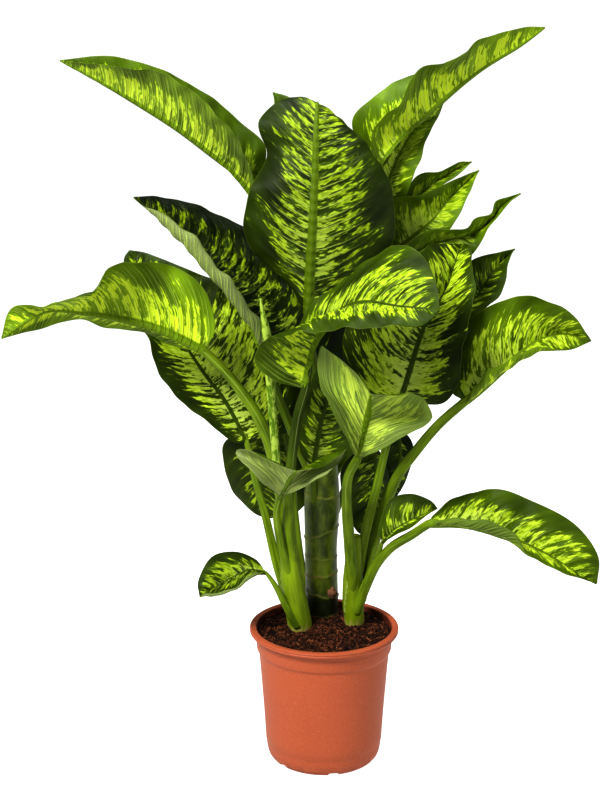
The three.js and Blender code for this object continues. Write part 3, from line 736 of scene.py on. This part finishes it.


# all places are in millimetres: the stalk from its stem up to the blade, then the midrib and the two
# edges of the blade as seen from its upper face with the tip up
# tone: how much streak; how bright the streaks and how pale the ground, both painted light and painted
# shade that pick how far each leaf sits along the colour pairs; how silvery the underside
# roll, where an edge rolls up: side, width, the shares of the midrib it starts and ends at, degrees
# ribLight: how pale the midrib is; stalkShade: how much painted shade darkens the stalk's upper end
leafShapes = {
    "long_left": {
        "stalk": [(-6, 55, 480), (-17, 85, 559), (-37, 112, 654), (-69, 108, 733)],
        "stalkRadius": (8, 5), "tone": (1.05, 0.8, 0.7, 0.1),
        "rib": [(-95, 88, 784), (-116, 84, 811), (-143, 76, 838), (-195, 62, 880), (-247, 46, 915),
                (-297, 30, 946), (-347, 12, 975)],
        "left": [(-101, 50, 834), (-124, 25, 882), (-158, 21, 919), (-209, 22, 956), (-277, 12, 967)],
        "right": [(-80, 87, 852), (-108, 96, 883), (-155, 84, 924), (-219, 63, 961), (-285, 44, 979)],
    },
    "long_right": {
        "stalk": [(-3, 55, 473), (11, 80, 575), (36, 104, 670), (58, 106, 754)],
        "stalkRadius": (8, 5), "tone": (1.35, 1, 1, 0),
        "rib": [(68, 95, 816), (103, 94, 863), (156, 92, 915), (209, 88, 959), (261, 84, 991),
                (294, 80, 1016)],
        "left": [(37, 99, 886), (64, 98, 921), (107, 136, 945), (168, 148, 965), (215, 128, 992),
                 (260, 102, 1009)],
        "right": [(64, 78, 877), (95, 44, 914), (120, 48, 957), (170, 37, 977), (211, 56, 1002),
                  (260, 71, 1015)],
    },
    "behind_right": {
        "stalk": [(0, 60, 454), (23, 95, 550), (54, 122, 638), (75, 128, 716)],
        "stalkRadius": (7, 4), "tone": (1.4, 0.9, 1, 0.75), "ribLight": 0.7,
        "rib": [(83, 112, 774), (90, 124, 808), (108, 136, 848), (134, 150, 885), (171, 166, 918)],
        "left": [(60, 108, 816), (74, 119, 863), (110, 133, 900), (147, 150, 916)],
        "right": [(110, 105, 782), (126, 101, 826), (143, 122, 866), (161, 144, 900)],
    },
    "hero": {
        "stalk": [(-3, 50, 459), (-10, 45, 526), (-20, 14, 589)],
        "stalkRadius": (9, 7), "tone": (0.95, 0.12, 0.12, 0), "ribLight": 0.45, "stalkShade": 0.6,
        "rib": [(-23, -15, 634), (-21, -12, 690), (-17, -8, 769), (-14, 2, 834), (-13, 22, 884),
                (-11, 58, 917), (-16, 110, 891)],
        "left": [(-47, 5, 678), (-85, 20, 709), (-110, 22, 752), (-100, 18, 806), (-79, 32, 849),
                 (-88, 38, 895), (-46, 60, 926)],
        "right": [(20, 0, 663), (68, 12, 702), (92, 18, 746), (90, 26, 798), (72, 40, 842), (39, 62, 878),
                  (1, 85, 900)],
    },
    "behind_hero": {
        "stalk": [(-4, 66, 448), (-6, 100, 527), (-2, 140, 606)],
        "stalkRadius": (7, 4.5), "tone": (0.25, 0.4, 0.5, 0.1), "stalkShade": 0.5,
        "rib": [(-3, 130, 691), (-17, 150, 762), (-40, 188, 843), (-73, 235, 922)],
        "left": [(-45, 126, 730), (-65, 141, 806), (-71, 177, 872), (-71, 213, 906)],
        "right": [(29, 132, 744), (15, 150, 826), (-20, 193, 888), (-46, 225, 913)],
    },
    "middle_left": {
        "stalk": [(-7, 58, 376), (-37, 60, 442), (-65, 45, 518)],
        "stalkRadius": (8, 5), "tone": (0.6, 0, 0, 0.5), "stalkShade": 0.5,
        "roll": (-1, 34, 0, 0.95, 160),
        "rib": [(-86, 25, 587), (-115, 24, 652), (-153, 22, 695), (-187, 18, 735), (-221, 14, 768),
                (-255, 8, 798)],
        "left": [(-93, -8, 601), (-137, -33, 667), (-178, -33, 718), (-214, -23, 758), (-240, -6, 786)],
        "right": [(16, 70, 543), (42, 90, 601), (-48, 92, 693), (-113, 98, 745), (-163, 86, 772),
                  (-217, 55, 792)],
    },
    "arching_left": {
        "stalk": [(-51, 4, 283), (-55, 4, 349), (-63, 5, 407), (-78, 5, 465), (-97, 3, 508),
                  (-129, -3, 555)],
        "stalkRadius": (11, 6), "tone": (1.15, 1, 0.9, 0), "ribLight": 1,
        "rib": [(-162, -10, 592), (-221, -18, 623), (-273, -28, 640), (-318, -38, 650), (-369, -48, 654),
                (-426, -60, 620)],
        "left": [(-148, -6, 628), (-165, -3, 680), (-213, -8, 711), (-276, -71, 718), (-298, -100, 691),
                 (-357, -91, 671), (-411, -51, 660)],
        "right": [(-199, 0, 596), (-243, -2, 615), (-291, -8, 625), (-332, -20, 637), (-384, -40, 628)],
    },
    "low_left": {
        "stalk": [(-55, 8, 244), (-68, 14, 287), (-83, 30, 348), (-99, 48, 401)],
        "stalkRadius": (7, 4), "tone": (1.3, 0.95, 0.2, 0.1),
        "rib": [(-109, 60, 446), (-139, 66, 503), (-168, 76, 540), (-196, 86, 581), (-238, 106, 648),
                (-275, 126, 709)],
        "left": [(-129, 48, 451), (-173, 38, 490), (-219, 38, 534), (-247, 52, 602), (-267, 80, 660),
                 (-281, 108, 695)],
        "right": [(-30, 100, 462), (-26, 112, 536), (-52, 112, 598), (-118, 114, 652), (-186, 118, 680),
                  (-246, 132, 702)],
    },
    "front_saddle": {
        "stalk": [(-48, -4, 271), (-60, -12, 318), (-66, -22, 365)],
        "stalkRadius": (7, 4.5), "tone": (0.7, 0.2, 0.6, 0.95), "ribLight": 0.8,
        "rib": [(-61, -35, 395), (-55, -60, 413), (-47, -95, 438), (-39, -135, 462)],
        "left": [(-34, -110, 430), (-5, -124, 451), (21, -85, 465), (29, -94, 480), (-5, -116, 463)],
        "right": [(-81, -106, 437), (-103, -109, 459), (-120, -79, 466), (-109, -88, 481),
                  (-75, -126, 473)],
    },
    "front_centre": {
        "stalk": [(-44, 2, 276), (-49, -8, 346), (-49, -14, 399), (-44, -20, 457), (-37, -30, 509)],
        "stalkRadius": (9, 6), "tone": (1.15, 0.5, 0.3, 0), "stalkShade": 0.75,
        "rib": [(-27, -38, 547), (-19, -44, 585), (-9, -54, 620), (18, -72, 658), (49, -98, 675),
                (92, -132, 676), (139, -165, 679)],
        "left": [(-39, -30, 585), (-37, -30, 626), (-13, -34, 667), (31, -45, 701), (82, -62, 743),
                 (119, -95, 738), (137, -130, 705)],
        "right": [(-67, -44, 560), (-93, -50, 584), (-84, -70, 617), (-37, -135, 643), (22, -163, 654),
                  (71, -178, 661), (114, -176, 661)],
    },
    "front_right": {
        "stalk": [(41, 12, 243), (35, -8, 317), (30, -22, 380), (31, -40, 424)],
        "stalkRadius": (9, 6), "tone": (1.2, 0.6, 0.7, 0.35),
        "rib": [(42, -60, 455), (49, -80, 491), (54, -112, 535), (55, -155, 569)],
        "left": [(69, -127, 488), (103, -151, 516), (137, -110, 523), (123, -121, 557), (89, -156, 568)],
        "right": [(24, -120, 505), (4, -125, 547), (-12, -78, 582), (-6, -89, 618), (20, -114, 603),
                  (43, -143, 585)],
    },
    "centre_right": {
        "stalk": [(45, 18, 248), (57, 12, 325), (71, 6, 392), (87, 8, 464)],
        "stalkRadius": (7.5, 5), "tone": (1.3, 0.85, 0.2, 0),
        "rib": [(103, 15, 519), (116, 15, 561), (136, 18, 623), (156, 22, 657), (169, 30, 683),
                (181, 50, 714), (189, 75, 725)],
        "left": [(52, 8, 528), (28, 20, 563), (30, 24, 622), (85, -17, 684), (121, -14, 721),
                 (142, 35, 730)],
        "right": [(157, 6, 515), (179, -18, 551), (185, -29, 615), (197, -25, 665), (197, 5, 701),
                  (198, 51, 725)],
    },
    "upper_right_small": {
        "stalk": [(1, 66, 421), (38, 112, 517), (73, 138, 618), (96, 138, 707)],
        "stalkRadius": (6, 3), "tone": (1.1, 0.8, 1, 0.3), "ribLight": 0.6,
        "rib": [(95, 126, 748), (142, 140, 792), (178, 158, 815), (210, 172, 828)],
        "left": [(116, 118, 798), (137, 124, 816), (162, 133, 819), (189, 154, 829)],
        "right": [(136, 115, 775), (161, 124, 795), (193, 149, 816)],
    },
    "upper_right": {
        "stalk": [(3, 64, 398), (44, 96, 491), (87, 118, 588), (113, 116, 668)],
        "stalkRadius": (6, 3), "tone": (1.3, 0.6, 1, 0.2), "ribLight": 0.7, "stalkShade": 0.4,
        "rib": [(99, 106, 712), (148, 115, 750), (176, 125, 782), (217, 138, 820)],
        "left": [(80, 112, 776), (130, 97, 790), (161, 108, 800), (193, 120, 814)],
        "right": [(141, 106, 713), (180, 97, 750), (201, 111, 792)],
    },
    "twisted_right": {
        "stalk": [(0, 60, 442), (48, 84, 513), (96, 98, 592), (121, 98, 664)],
        "stalkRadius": (6, 3), "tone": (0.8, 0.4, 1, 0.4), "ribLight": 0.6, "stalkShade": 0.4,
        "rib": [(109, 92, 706), (160, 88, 727), (194, 86, 735), (221, 84, 749), (240, 80, 774),
                (268, 76, 795)],
        "left": [(132, 66, 742), (187, 61, 748), (204, 66, 761), (226, 61, 768), (233, 68, 785),
                 (253, 73, 791)],
        "right": [(159, 72, 698), (200, 72, 709), (224, 66, 747), (251, 69, 782)],
    },
    "dark_right": {
        "stalk": [(3, 62, 382), (55, 104, 442), (110, 116, 496), (158, 98, 568)],
        "stalkRadius": (6, 3), "tone": (0.7, 0.6, 0.4, 0.1), "stalkShade": 0.5,
        "rib": [(176, 80, 603), (210, 88, 644), (238, 98, 685), (267, 112, 713)],
        "left": [(175, 79, 653), (203, 101, 696), (244, 93, 711)],
        "right": [(203, 55, 623), (246, 67, 662), (255, 86, 698)],
    },
    "big_right": {
        "stalk": [(51, 20, 225), (66, 24, 291), (82, 20, 356), (100, 10, 409), (126, -2, 452),
                  (155, -10, 491)],
        "stalkRadius": (9, 6), "tone": (1.2, 1, 0.7, 0), "ribLight": 0.8,
        "roll": (1, 40, 0, 1, 110),
        "rib": [(190, -15, 525), (209, -17, 541), (235, -20, 566), (260, -24, 591), (285, -28, 612),
                (317, -33, 622), (352, -40, 613)],
        "left": [(170, -2, 537), (166, 18, 581), (196, 10, 634), (245, -20, 667), (279, -58, 674),
                 (315, -62, 658), (342, -53, 627)],
        "right": [(206, -45, 538), (239, -59, 570), (278, -60, 593), (324, -39, 601)],
    },
    "low_right": {
        "stalk": [(45, 14, 209), (57, 2, 250), (72, -14, 291), (92, -30, 322), (118, -46, 345)],
        "stalkRadius": (8, 6), "tone": (1.25, 0.9, 0.6, 0.1), "ribLight": 0.5,
        "roll": (1, 26, -0.1, 0.6, 125),
        "rib": [(141, -60, 366), (188, -70, 367), (234, -80, 356), (286, -92, 337), (332, -102, 312),
                (361, -110, 298)],
        "left": [(148, -39, 372), (178, -27, 391), (228, -61, 415), (274, -70, 402), (330, -84, 375),
                 (362, -99, 335)],
        "right": [(180, -107, 371), (228, -123, 363), (268, -129, 341), (311, -124, 320)],
    },
    "small_right": {
        "stalk": [(70, -13, 288), (75, -20, 308)],
        "stalkRadius": (4, 2.5), "tone": (1.1, 0.8, 0.5, 0.1),
        "rib": [(79, -25, 326), (96, -27, 345), (117, -30, 359), (137, -33, 370), (153, -36, 380)],
        "left": [(74, -35, 355), (90, -16, 385), (117, -19, 395), (143, -32, 390)],
        "right": [(101, -49, 348), (126, -51, 365), (145, -44, 377)],
    },
    "hanging_right": {
        "stalk": [(0, 62, 315), (23, 84, 420), (44, 84, 469), (59, 64, 477)],
        "stalkRadius": (6, 3.5), "tone": (0.6, 0.4, 0.15, 0),
        "rib": [(67, 45, 453), (73, 42, 411), (73, 42, 359), (66, 46, 309)],
        "left": [(88, 60, 413), (92, 49, 364), (85, 38, 323)],
        "right": [(26, 41, 418), (27, 39, 370), (45, 39, 323)],
    },
    "hanging_far_right": {
        "stalk": [(3, 66, 291), (34, 92, 381), (63, 92, 467), (91, 82, 493)],
        "stalkRadius": (5, 3), "tone": (0.4, 0.3, 0.1, 0),
        "rib": [(104, 70, 469), (108, 68, 418), (100, 70, 355)],
        "left": [(126, 68, 440), (120, 74, 392)],
        "right": [(85, 69, 432), (87, 67, 385)],
    },
    "back_left": {
        "stalk": [(-22, 66, 210), (-33, 84, 262), (-41, 100, 325), (-49, 125, 409), (-66, 140, 460)],
        "stalkRadius": (6, 4), "tone": (0.5, 0.4, 0.3, 0.1), "stalkShade": 0.5,
        "rib": [(-75, 138, 443), (-87, 146, 387), (-90, 152, 339), (-76, 152, 303)],
        "left": [(-13, 145, 426), (-5, 146, 380), (-18, 149, 336), (-49, 149, 307)],
        "right": [(-139, 143, 429), (-147, 148, 391), (-130, 173, 332), (-100, 156, 308)],
    },
    "tiny_left": {
        "stalk": [(-37, -4, 195), (-54, -12, 230), (-67, -14, 257)],
        "stalkRadius": (8, 2.5), "tone": (0.95, 0.3, 0.2, 0.5), "roll": (-1, 9, 0.1, 1.1, 150),
        "rib": [(-81, -12, 277), (-104, -14, 281), (-124, -18, 274), (-152, -24, 260), (-173, -30, 249)],
        "left": [(-97, -47, 281), (-121, -57, 269), (-148, -53, 256)],
        "right": [(-96, 9, 289), (-121, 4, 303), (-156, -10, 301), (-175, -22, 270)],
    },
    "centre_back": {
        "stalk": [(-6, 52, 318), (-14, 36, 371)],
        "stalkRadius": (6, 4), "tone": (0.8, 0.2, 0.25, 0), "stalkShade": 0.5,
        "rib": [(-15, 16, 421), (-7, 8, 478), (3, 2, 522), (12, -4, 586)],
        "left": [(-34, 16, 447), (-31, 14, 508), (-10, 8, 565)],
        "right": [(36, -3, 450), (35, -8, 511), (28, 0, 562)],
    },
}

bladeForm = {
    "rowStep": 4.0, "thickness": 0.8, "edgeThickness": 0.15, "camber": 0.065, "ripple": 2.6,
    "wavePitch": (62, 95), "pucker": 1.0, "puckerPitch": 27, "veinPitch": 13.5, "ridgePitch": 6.2,
    "veinRise": 0.5, "veinCurl": 0.28,
    "columns": [0, 0.018, 0.036, 0.06, 0.09, 0.13, 0.18, 0.24, 0.31, 0.38, 0.45, 0.52, 0.59, 0.66,
                0.72, 0.77, 0.815, 0.855, 0.89, 0.925, 0.955, 0.98, 1],
    # noise scales along and across the midrib
    "broad": (26, 16), "bend": (90, 40), "streak": (145, 34), "fleck": (380, 120),
}

stalkForm = {
    "rowStep": 4, "sides": 24,
    "skin": (rgb(72, 92, 4), rgb(107, 129, 9)), "grain": rgb(126, 150, 38), "shade": rgb(22, 36, 2),
    "wing": rgb(160, 176, 110),
}

# each pair runs from a leaf in shade to a bright one
leafColors = {
    "deep": (rgb(6, 14, 0), rgb(58, 78, 1)), "leaf": (rgb(26, 40, 0), rgb(92, 118, 3)),
    "flush": (rgb(56, 74, 2), rgb(108, 134, 4)), "streak": (rgb(88, 108, 3), rgb(136, 160, 16)),
    "bright": (rgb(126, 145, 18), rgb(174, 193, 56)), "soft": (rgb(134, 148, 66), rgb(172, 188, 92)),
    "midrib": (rgb(46, 64, 3), rgb(100, 122, 6)), "edge": rgb(96, 112, 34),
    "under": (rgb(34, 50, 1), rgb(70, 94, 2)), "underLeaf": (rgb(58, 78, 2), rgb(108, 136, 4)),
    "underPale": rgb(170, 190, 40), "underSoft": rgb(172, 188, 84), "underRib": rgb(96, 120, 12),
    "silver": rgb(166, 176, 124),
}


def bladePattern(paint):
    # how much pale colour shows at each point: streaks that follow the side veins, broken up by flecks
    side, vein, edge = paint.attribute("bladePlace")
    rib, seed, along = paint.attribute("bladeMore")
    # light and ground are painted light and painted shade: they set how far along each colour pair, from
    # shaded to lit, a leaf is painted
    streaks, light, ground = paint.attribute("bladeStreakAndLight")
    silver, ribLight = paint.attribute("bladeSheen")[:2]
    out = abs(side)
    turn = seed + (side > 0.0) * 7.0

    def veinNoise(place, scale, detail, roughness):
        return paint.noise(paint.place(place * scale[0], out * scale[1], turn), detail, roughness)

    broad = veinNoise(vein, bladeForm["broad"], 2, 0.5)
    bend = (veinNoise(vein, bladeForm["bend"], 1, 0.5) - 0.5) * 0.006
    streak = veinNoise(vein + bend, bladeForm["streak"], 2, 0.6)
    fleck = veinNoise(vein + bend, bladeForm["fleck"], 2, 0.6)
    inner = 1.0 - paint.step(edge - (broad - 0.5) * 0.8 - streaks * 0.14, 0.3, 0.86)
    tips = paint.step(along, -0.02, 0.06) * (1.0 - paint.step(along, 0.86, 1.0) * 0.6)
    above = streak * 0.64 + fleck * 0.36 - (0.71 - inner * tips * (0.10 + streaks * 0.10))
    pitch = bladeForm["veinPitch"] * mm
    lines = paint.lines((vein + bend * 0.5) / pitch, 0.1) * paint.step(rib, 0.9, 1.6)
    fade = (1.0 - paint.step(edge, 0.15, 0.75)) * (1.0 - paint.step(along, 0.45, 0.95))
    return {
        "edge": edge, "along": along, "rib": rib, "vein": vein, "veinNoise": veinNoise,
        "light": light, "ground": ground, "silver": silver, "ribLight": ribLight,
        "broad": broad, "streak": streak, "fleck": fleck, "inner": inner,
        "pale": paint.step(above, -0.02, 0.03), "half": paint.step(above, -0.09, 0.0),
        "lines": lines, "veins": lines * fade * paint.step(streaks, 0.4, 1.0),
        "wave": paint.node("Math", {"operation": "COSINE"}, {0: (vein + bend * 0.5) * (fullTurn / pitch)}),
    }


def leafTopPaint():
    paint = Paint("leafTop")
    p = bladePattern(paint)
    tint = leafColors
    cloud = paint.step(p["broad"], 0.25, 0.75)
    pale = paint.mix(paint.step(p["fleck"], 0.42, 0.62), paint.mix(p["light"], *tint["streak"]),
                     paint.mix(p["light"], *tint["bright"]))
    softGreen = paint.mix(p["light"], *tint["soft"])
    soft = (1.0 - paint.step(p["along"], 0.1, 0.6)) * (1.0 - paint.step(p["edge"], 0.05, 0.6))
    green = paint.mix(cloud, paint.mix(p["ground"], *tint["deep"]), paint.mix(p["ground"], *tint["leaf"]))
    color = paint.layers(green, [
        (p["half"] * (0.35 + p["inner"] * 0.6), paint.mix(p["ground"], *tint["flush"])),
        (p["pale"], paint.mix(soft * 0.85, pale, softGreen)), (p["veins"] * 0.8, softGreen),
        (1.0 - paint.step(p["rib"], 0.8, 1.1), paint.mix(p["ribLight"], *tint["midrib"])),
        (paint.step(p["edge"], 0.985, 0.998) * 0.6, tint["edge"]),
    ])
    fine = p["veinNoise"](p["vein"], (1400, 500), 2, 0.6)
    height = p["wave"] * 0.3 * (1.0 - paint.step(p["edge"], 0.4, 1.0)) + fine * 0.2 + p["streak"] * 0.35
    rough = 0.4 + fine * 0.12 + p["pale"] * 0.05
    return paint.finish(color, rough, height, 0.0014, Specular_IOR_Level=0.1)


def leafUnderPaint():
    paint = Paint("leafUnder")
    p = bladePattern(paint)
    tint = leafColors
    cloud = paint.step(p["broad"], 0.3, 0.7)
    green = paint.mix(cloud, paint.mix(p["ground"], *tint["under"]),
                      paint.mix(p["ground"], *tint["underLeaf"]))
    edgeFade = 1.0 - paint.step(p["edge"], 0.8, 1.0)
    ridgePlace = (p["vein"] + p["streak"] * 0.002) / (bladeForm["ridgePitch"] * mm)
    ridges = paint.lines(ridgePlace, 0.22) * edgeFade
    veins = p["veins"] * 0.4 + p["lines"] * edgeFade * (0.22 + p["silver"] * 0.5)
    color = paint.layers(green, [
        (p["half"] * (0.3 + p["inner"] * 0.6), tint["underLeaf"][1]),
        (p["pale"], paint.mix(p["silver"], tint["underPale"], tint["underSoft"])),
        (p["silver"] * 0.6, tint["silver"]), (ridges * (0.25 + p["silver"] * 0.35), tint["underSoft"]),
        (veins, tint["underSoft"]), (1.0 - paint.step(p["rib"], 0.85, 1.3), tint["underRib"]),
        (paint.step(p["edge"], 0.96, 0.995) * 0.5, tint["edge"]),
    ])
    fine = p["veinNoise"](p["vein"], (1200, 420), 2, 0.6)
    height = p["wave"] * 0.4 * (1.0 - paint.step(p["edge"], 0.6, 1.0)) + fine * 0.25 + ridges * 0.5
    return paint.finish(color, 0.5 + fine * 0.15, height, 0.0014, Specular_IOR_Level=0.12)


def stalkPaint():
    # along runs from 0 at the blade to 1 at the stem
    paint = Paint("stalkSkin")
    angle, along = paint.attribute("skinMore")[:2]
    shade = paint.attribute("stalkPaintedShade")[0]
    grain = paint.skinNoise(520, 30, 3, 0.55)
    wing = paint.lines(angle * 2, 0.05) * (1.0 - paint.step(along, 0.3, 0.7))
    color = paint.layers(paint.mix(paint.step(paint.skinNoise(60, 16), 0.3, 0.7), *stalkForm["skin"]), [
        (paint.step(grain, 0.42, 0.72) * 0.5, stalkForm["grain"]),
        # painted shade darkens the stalk's upper end, fading out towards the stem
        (shade * (1.0 - paint.step(along, 0.3, 0.85)), stalkForm["shade"]), (wing * 0.4, stalkForm["wing"]),
    ])
    return paint.finish(color, 0.42 + grain * 0.15, grain, 0.0004, Specular_IOR_Level=0.14)


def edgeRoll(shape, sign, shares, width):
    # the strip that rolls up on each row, the radius it rolls round, and the width with the roll in it
    side, size, start, end, turn = shape.get("roll", (0, 0, 0, 1, 90))
    window = np.clip((shares - start) * (end - shares) * 8 / (end - start) ** 2, 0, 1)
    window = window ** 2 * (3 - 2 * window)
    rolled = (side == sign) * window * np.minimum(size * mm, width * 0.7) + 1e-9
    bendRadius = rolled / math.radians(turn)
    return rolled, bendRadius, width + (rolled - bendRadius) * (side == sign)


def edgeSwing(rng, shares, edgeLength, width):
    # how far the edge waves up and down
    phase, second = rng.uniform(0, fullTurn, 2)
    pitch = rng.uniform(*bladeForm["wavePitch"]) * mm
    run = fullTurn * shares * edgeLength / pitch
    swing = np.sin(run + phase) + 0.5 * np.sin(run / 0.47 + second)
    return swing * bladeForm["ripple"] * mm * np.clip(width / 0.05, 0, 1) * np.sin(math.pi * shares) ** 0.5


def sheetFaces(rows, count):
    # the upper skin, the lower skin and the narrow wall round them; all but the upper are of kind 1
    faces, kinds = [], []
    shift = rows * count
    for row in range(rows - 1):
        for column in range(count - 1):
            a = row * count + column
            d = a + count
            faces.append((a, a + 1, d + 1, d))
            faces.append((a + shift, d + shift, d + 1 + shift, a + 1 + shift))
            kinds += [0, 1]
        a, b = row * count, row * count + count - 1
        faces.append((a, a + count, a + count + shift, a + shift))
        faces.append((b, b + shift, b + count + shift, b + count))
        kinds += [1, 1]
    for column in range(count - 1):
        last = (rows - 1) * count + column
        faces.append((column, column + shift, column + 1 + shift, column + 1))
        faces.append((last, last + 1, last + 1 + shift, last + shift))
        kinds += [1, 1]
    return faces, kinds


def bladeMiddle(shape, rng, shares, columns):
    # the middle layer of the blade, and each point's place: side, vein and share of the width
    rib, length = smoothCurve(shape["rib"], shares)
    along = unit(np.gradient(rib, axis=0))
    middle = np.zeros((len(shares), len(columns), 3))
    place = np.zeros_like(middle)
    for name, sign in (("left", -1), ("right", 1)):
        edge, edgeLength = smoothCurve([shape["rib"][0], *shape[name], shape["rib"][-1]], shares)
        outward = unit(edge - rib)
        face = unit(np.cross(sign * outward, along))
        rolled, bendRadius, width = edgeRoll(shape, sign, shares, np.linalg.norm(edge - rib, axis=1))
        swing = edgeSwing(rng, shares, edgeLength, width)
        for k, s in enumerate(columns):
            if s * sign < 0 or (s == 0 and sign < 0):
                continue
            r = abs(s)
            x = r * width
            vein = shares * length - bladeForm["veinRise"] * x
            vein = vein - bladeForm["veinCurl"] * x ** 2 / np.maximum(width, 0.004)
            fold = bladeForm["pucker"] * mm * np.cos(fullTurn * vein / (bladeForm["puckerPitch"] * mm))
            bulge = bladeForm["camber"] * width + fold * np.clip(width / 0.03, 0, 1)
            lift = 4 * r * (1 - r) * bulge + swing * r ** 2.6
            # the outer strip of a rolled edge curls up over the face
            curl = np.clip(x - (width - rolled), 0, None) / bendRadius
            reach = np.minimum(x, width - rolled) + bendRadius * np.sin(curl)
            lift = lift + bendRadius * (1 - np.cos(curl))
            middle[:, k] = rib + outward * reach[:, None] + face * lift[:, None]
            place[:, k] = np.stack([sign * x, vein, np.full(len(shares), r)], -1)
    return middle, place


def bladeMesh(shape, seed):
    rows = max(24, int(smoothCurve(shape["rib"], [0, 1])[1] / mm / bladeForm["rowStep"]))
    shares = 0.004 + 0.992 * np.linspace(0, 1, rows)
    half = bladeForm["columns"]
    columns = [-s for s in half[:0:-1]] + half
    grid = (rows, len(columns))
    middle, place = bladeMiddle(shape, np.random.default_rng(seed), shares, columns)
    normals = unit(np.cross(np.gradient(middle, axis=1), np.gradient(middle, axis=0)))
    # the midrib stands out on both sides and thins towards the tip
    ribSize = (shape["stalkRadius"][1] * 1.2 * (1 - shares) ** 0.85 + 1.0 * shares)[:, None] * mm
    ratio = np.abs(place[..., 0]) / ribSize
    thick = bladeForm["thickness"] * (1 - np.abs(columns) ** 6)[None, :] + bladeForm["edgeThickness"]
    thick = thick * mm / 2
    upper = middle + normals * (thick + 0.6 * ribSize * np.exp(-(ratio / 0.72) ** 2.4))[..., None]
    lower = middle - normals * (thick + 0.8 * ribSize * np.exp(-(ratio / 0.85) ** 2))[..., None]
    streaks, light, ground, silver = shape["tone"]
    places = {
        "bladePlace": place,
        "bladeMore": np.stack([ratio, np.full(grid, seed * 3.7), shares[:, None] + 0 * ratio], -1),
        "bladeStreakAndLight": np.broadcast_to([streaks, light, ground], (*grid, 3)),
        "bladeSheen": np.broadcast_to([silver, shape.get("ribLight", 0.1), 0], (*grid, 3)),
    }
    places = {key: np.vstack([values.reshape(-1, 3)] * 2) for key, values in places.items()}
    faces, kinds = sheetFaces(*grid)
    points = np.vstack([upper.reshape(-1, 3), lower.reshape(-1, 3)])
    return points, faces, kinds, places, normals[2, len(columns) // 2]


def channelled(angle, share):
    # a stalk's groove widens into a sheath with two wings; the share runs from the blade down
    away = np.minimum(angle, fullTurn - angle)
    sheath = np.clip((share - 0.45) / 0.4, 0, 1)
    groove = (0.12 + 0.3 * sheath) * np.exp(-(away / 0.5) ** 2)
    wings = 0.16 * sheath * np.exp(-((away - 0.85) / 0.22) ** 2)
    return 1 - groove + wings + 0 * share


def stalkMesh(shape, footNormal):
    # the stalk is swept from the blade down to the stem, so that its groove starts under the midrib
    rib, _ = smoothCurve(shape["rib"], [0.05, 0.13])
    route = [*shape["stalk"], shape["rib"][0], *(rib / mm)]
    length = smoothCurve(route, [0, 1])[1]
    shares = np.linspace(0, 1, max(12, int(length / mm / stalkForm["rowStep"])))
    centres, _ = smoothCurve(route, shares)
    footShare = 1 - np.linalg.norm(rib[1] - np.array(shape["rib"][0]) * mm) / length
    low, high = shape["stalkRadius"]
    radii = np.interp(shares, [0, footShare, 1], [low, high, high * 0.45]) * mm
    return sweepTube(centres[::-1], radii[::-1], footNormal, stalkForm["sides"], channelled)


def buildLeaves():
    top, under, skin = leafTopPaint(), leafUnderPaint(), stalkPaint()
    for order, (name, shape) in enumerate(leafShapes.items()):
        points, faces, kinds, places, footNormal = bladeMesh(shape, order + 1)
        makePiece(name + "_blade", points, faces, [top, under], ["leaf_" + name], places, kinds)
        points, faces, places = stalkMesh(shape, footNormal)
        places["stalkPaintedShade"] = np.full((len(points), 3), shape.get("stalkShade", 0.0))
        makePiece(name + "_stem", points, faces, [skin], ["stalk_" + name], places)


buildLeaves()
print("leaves are made")
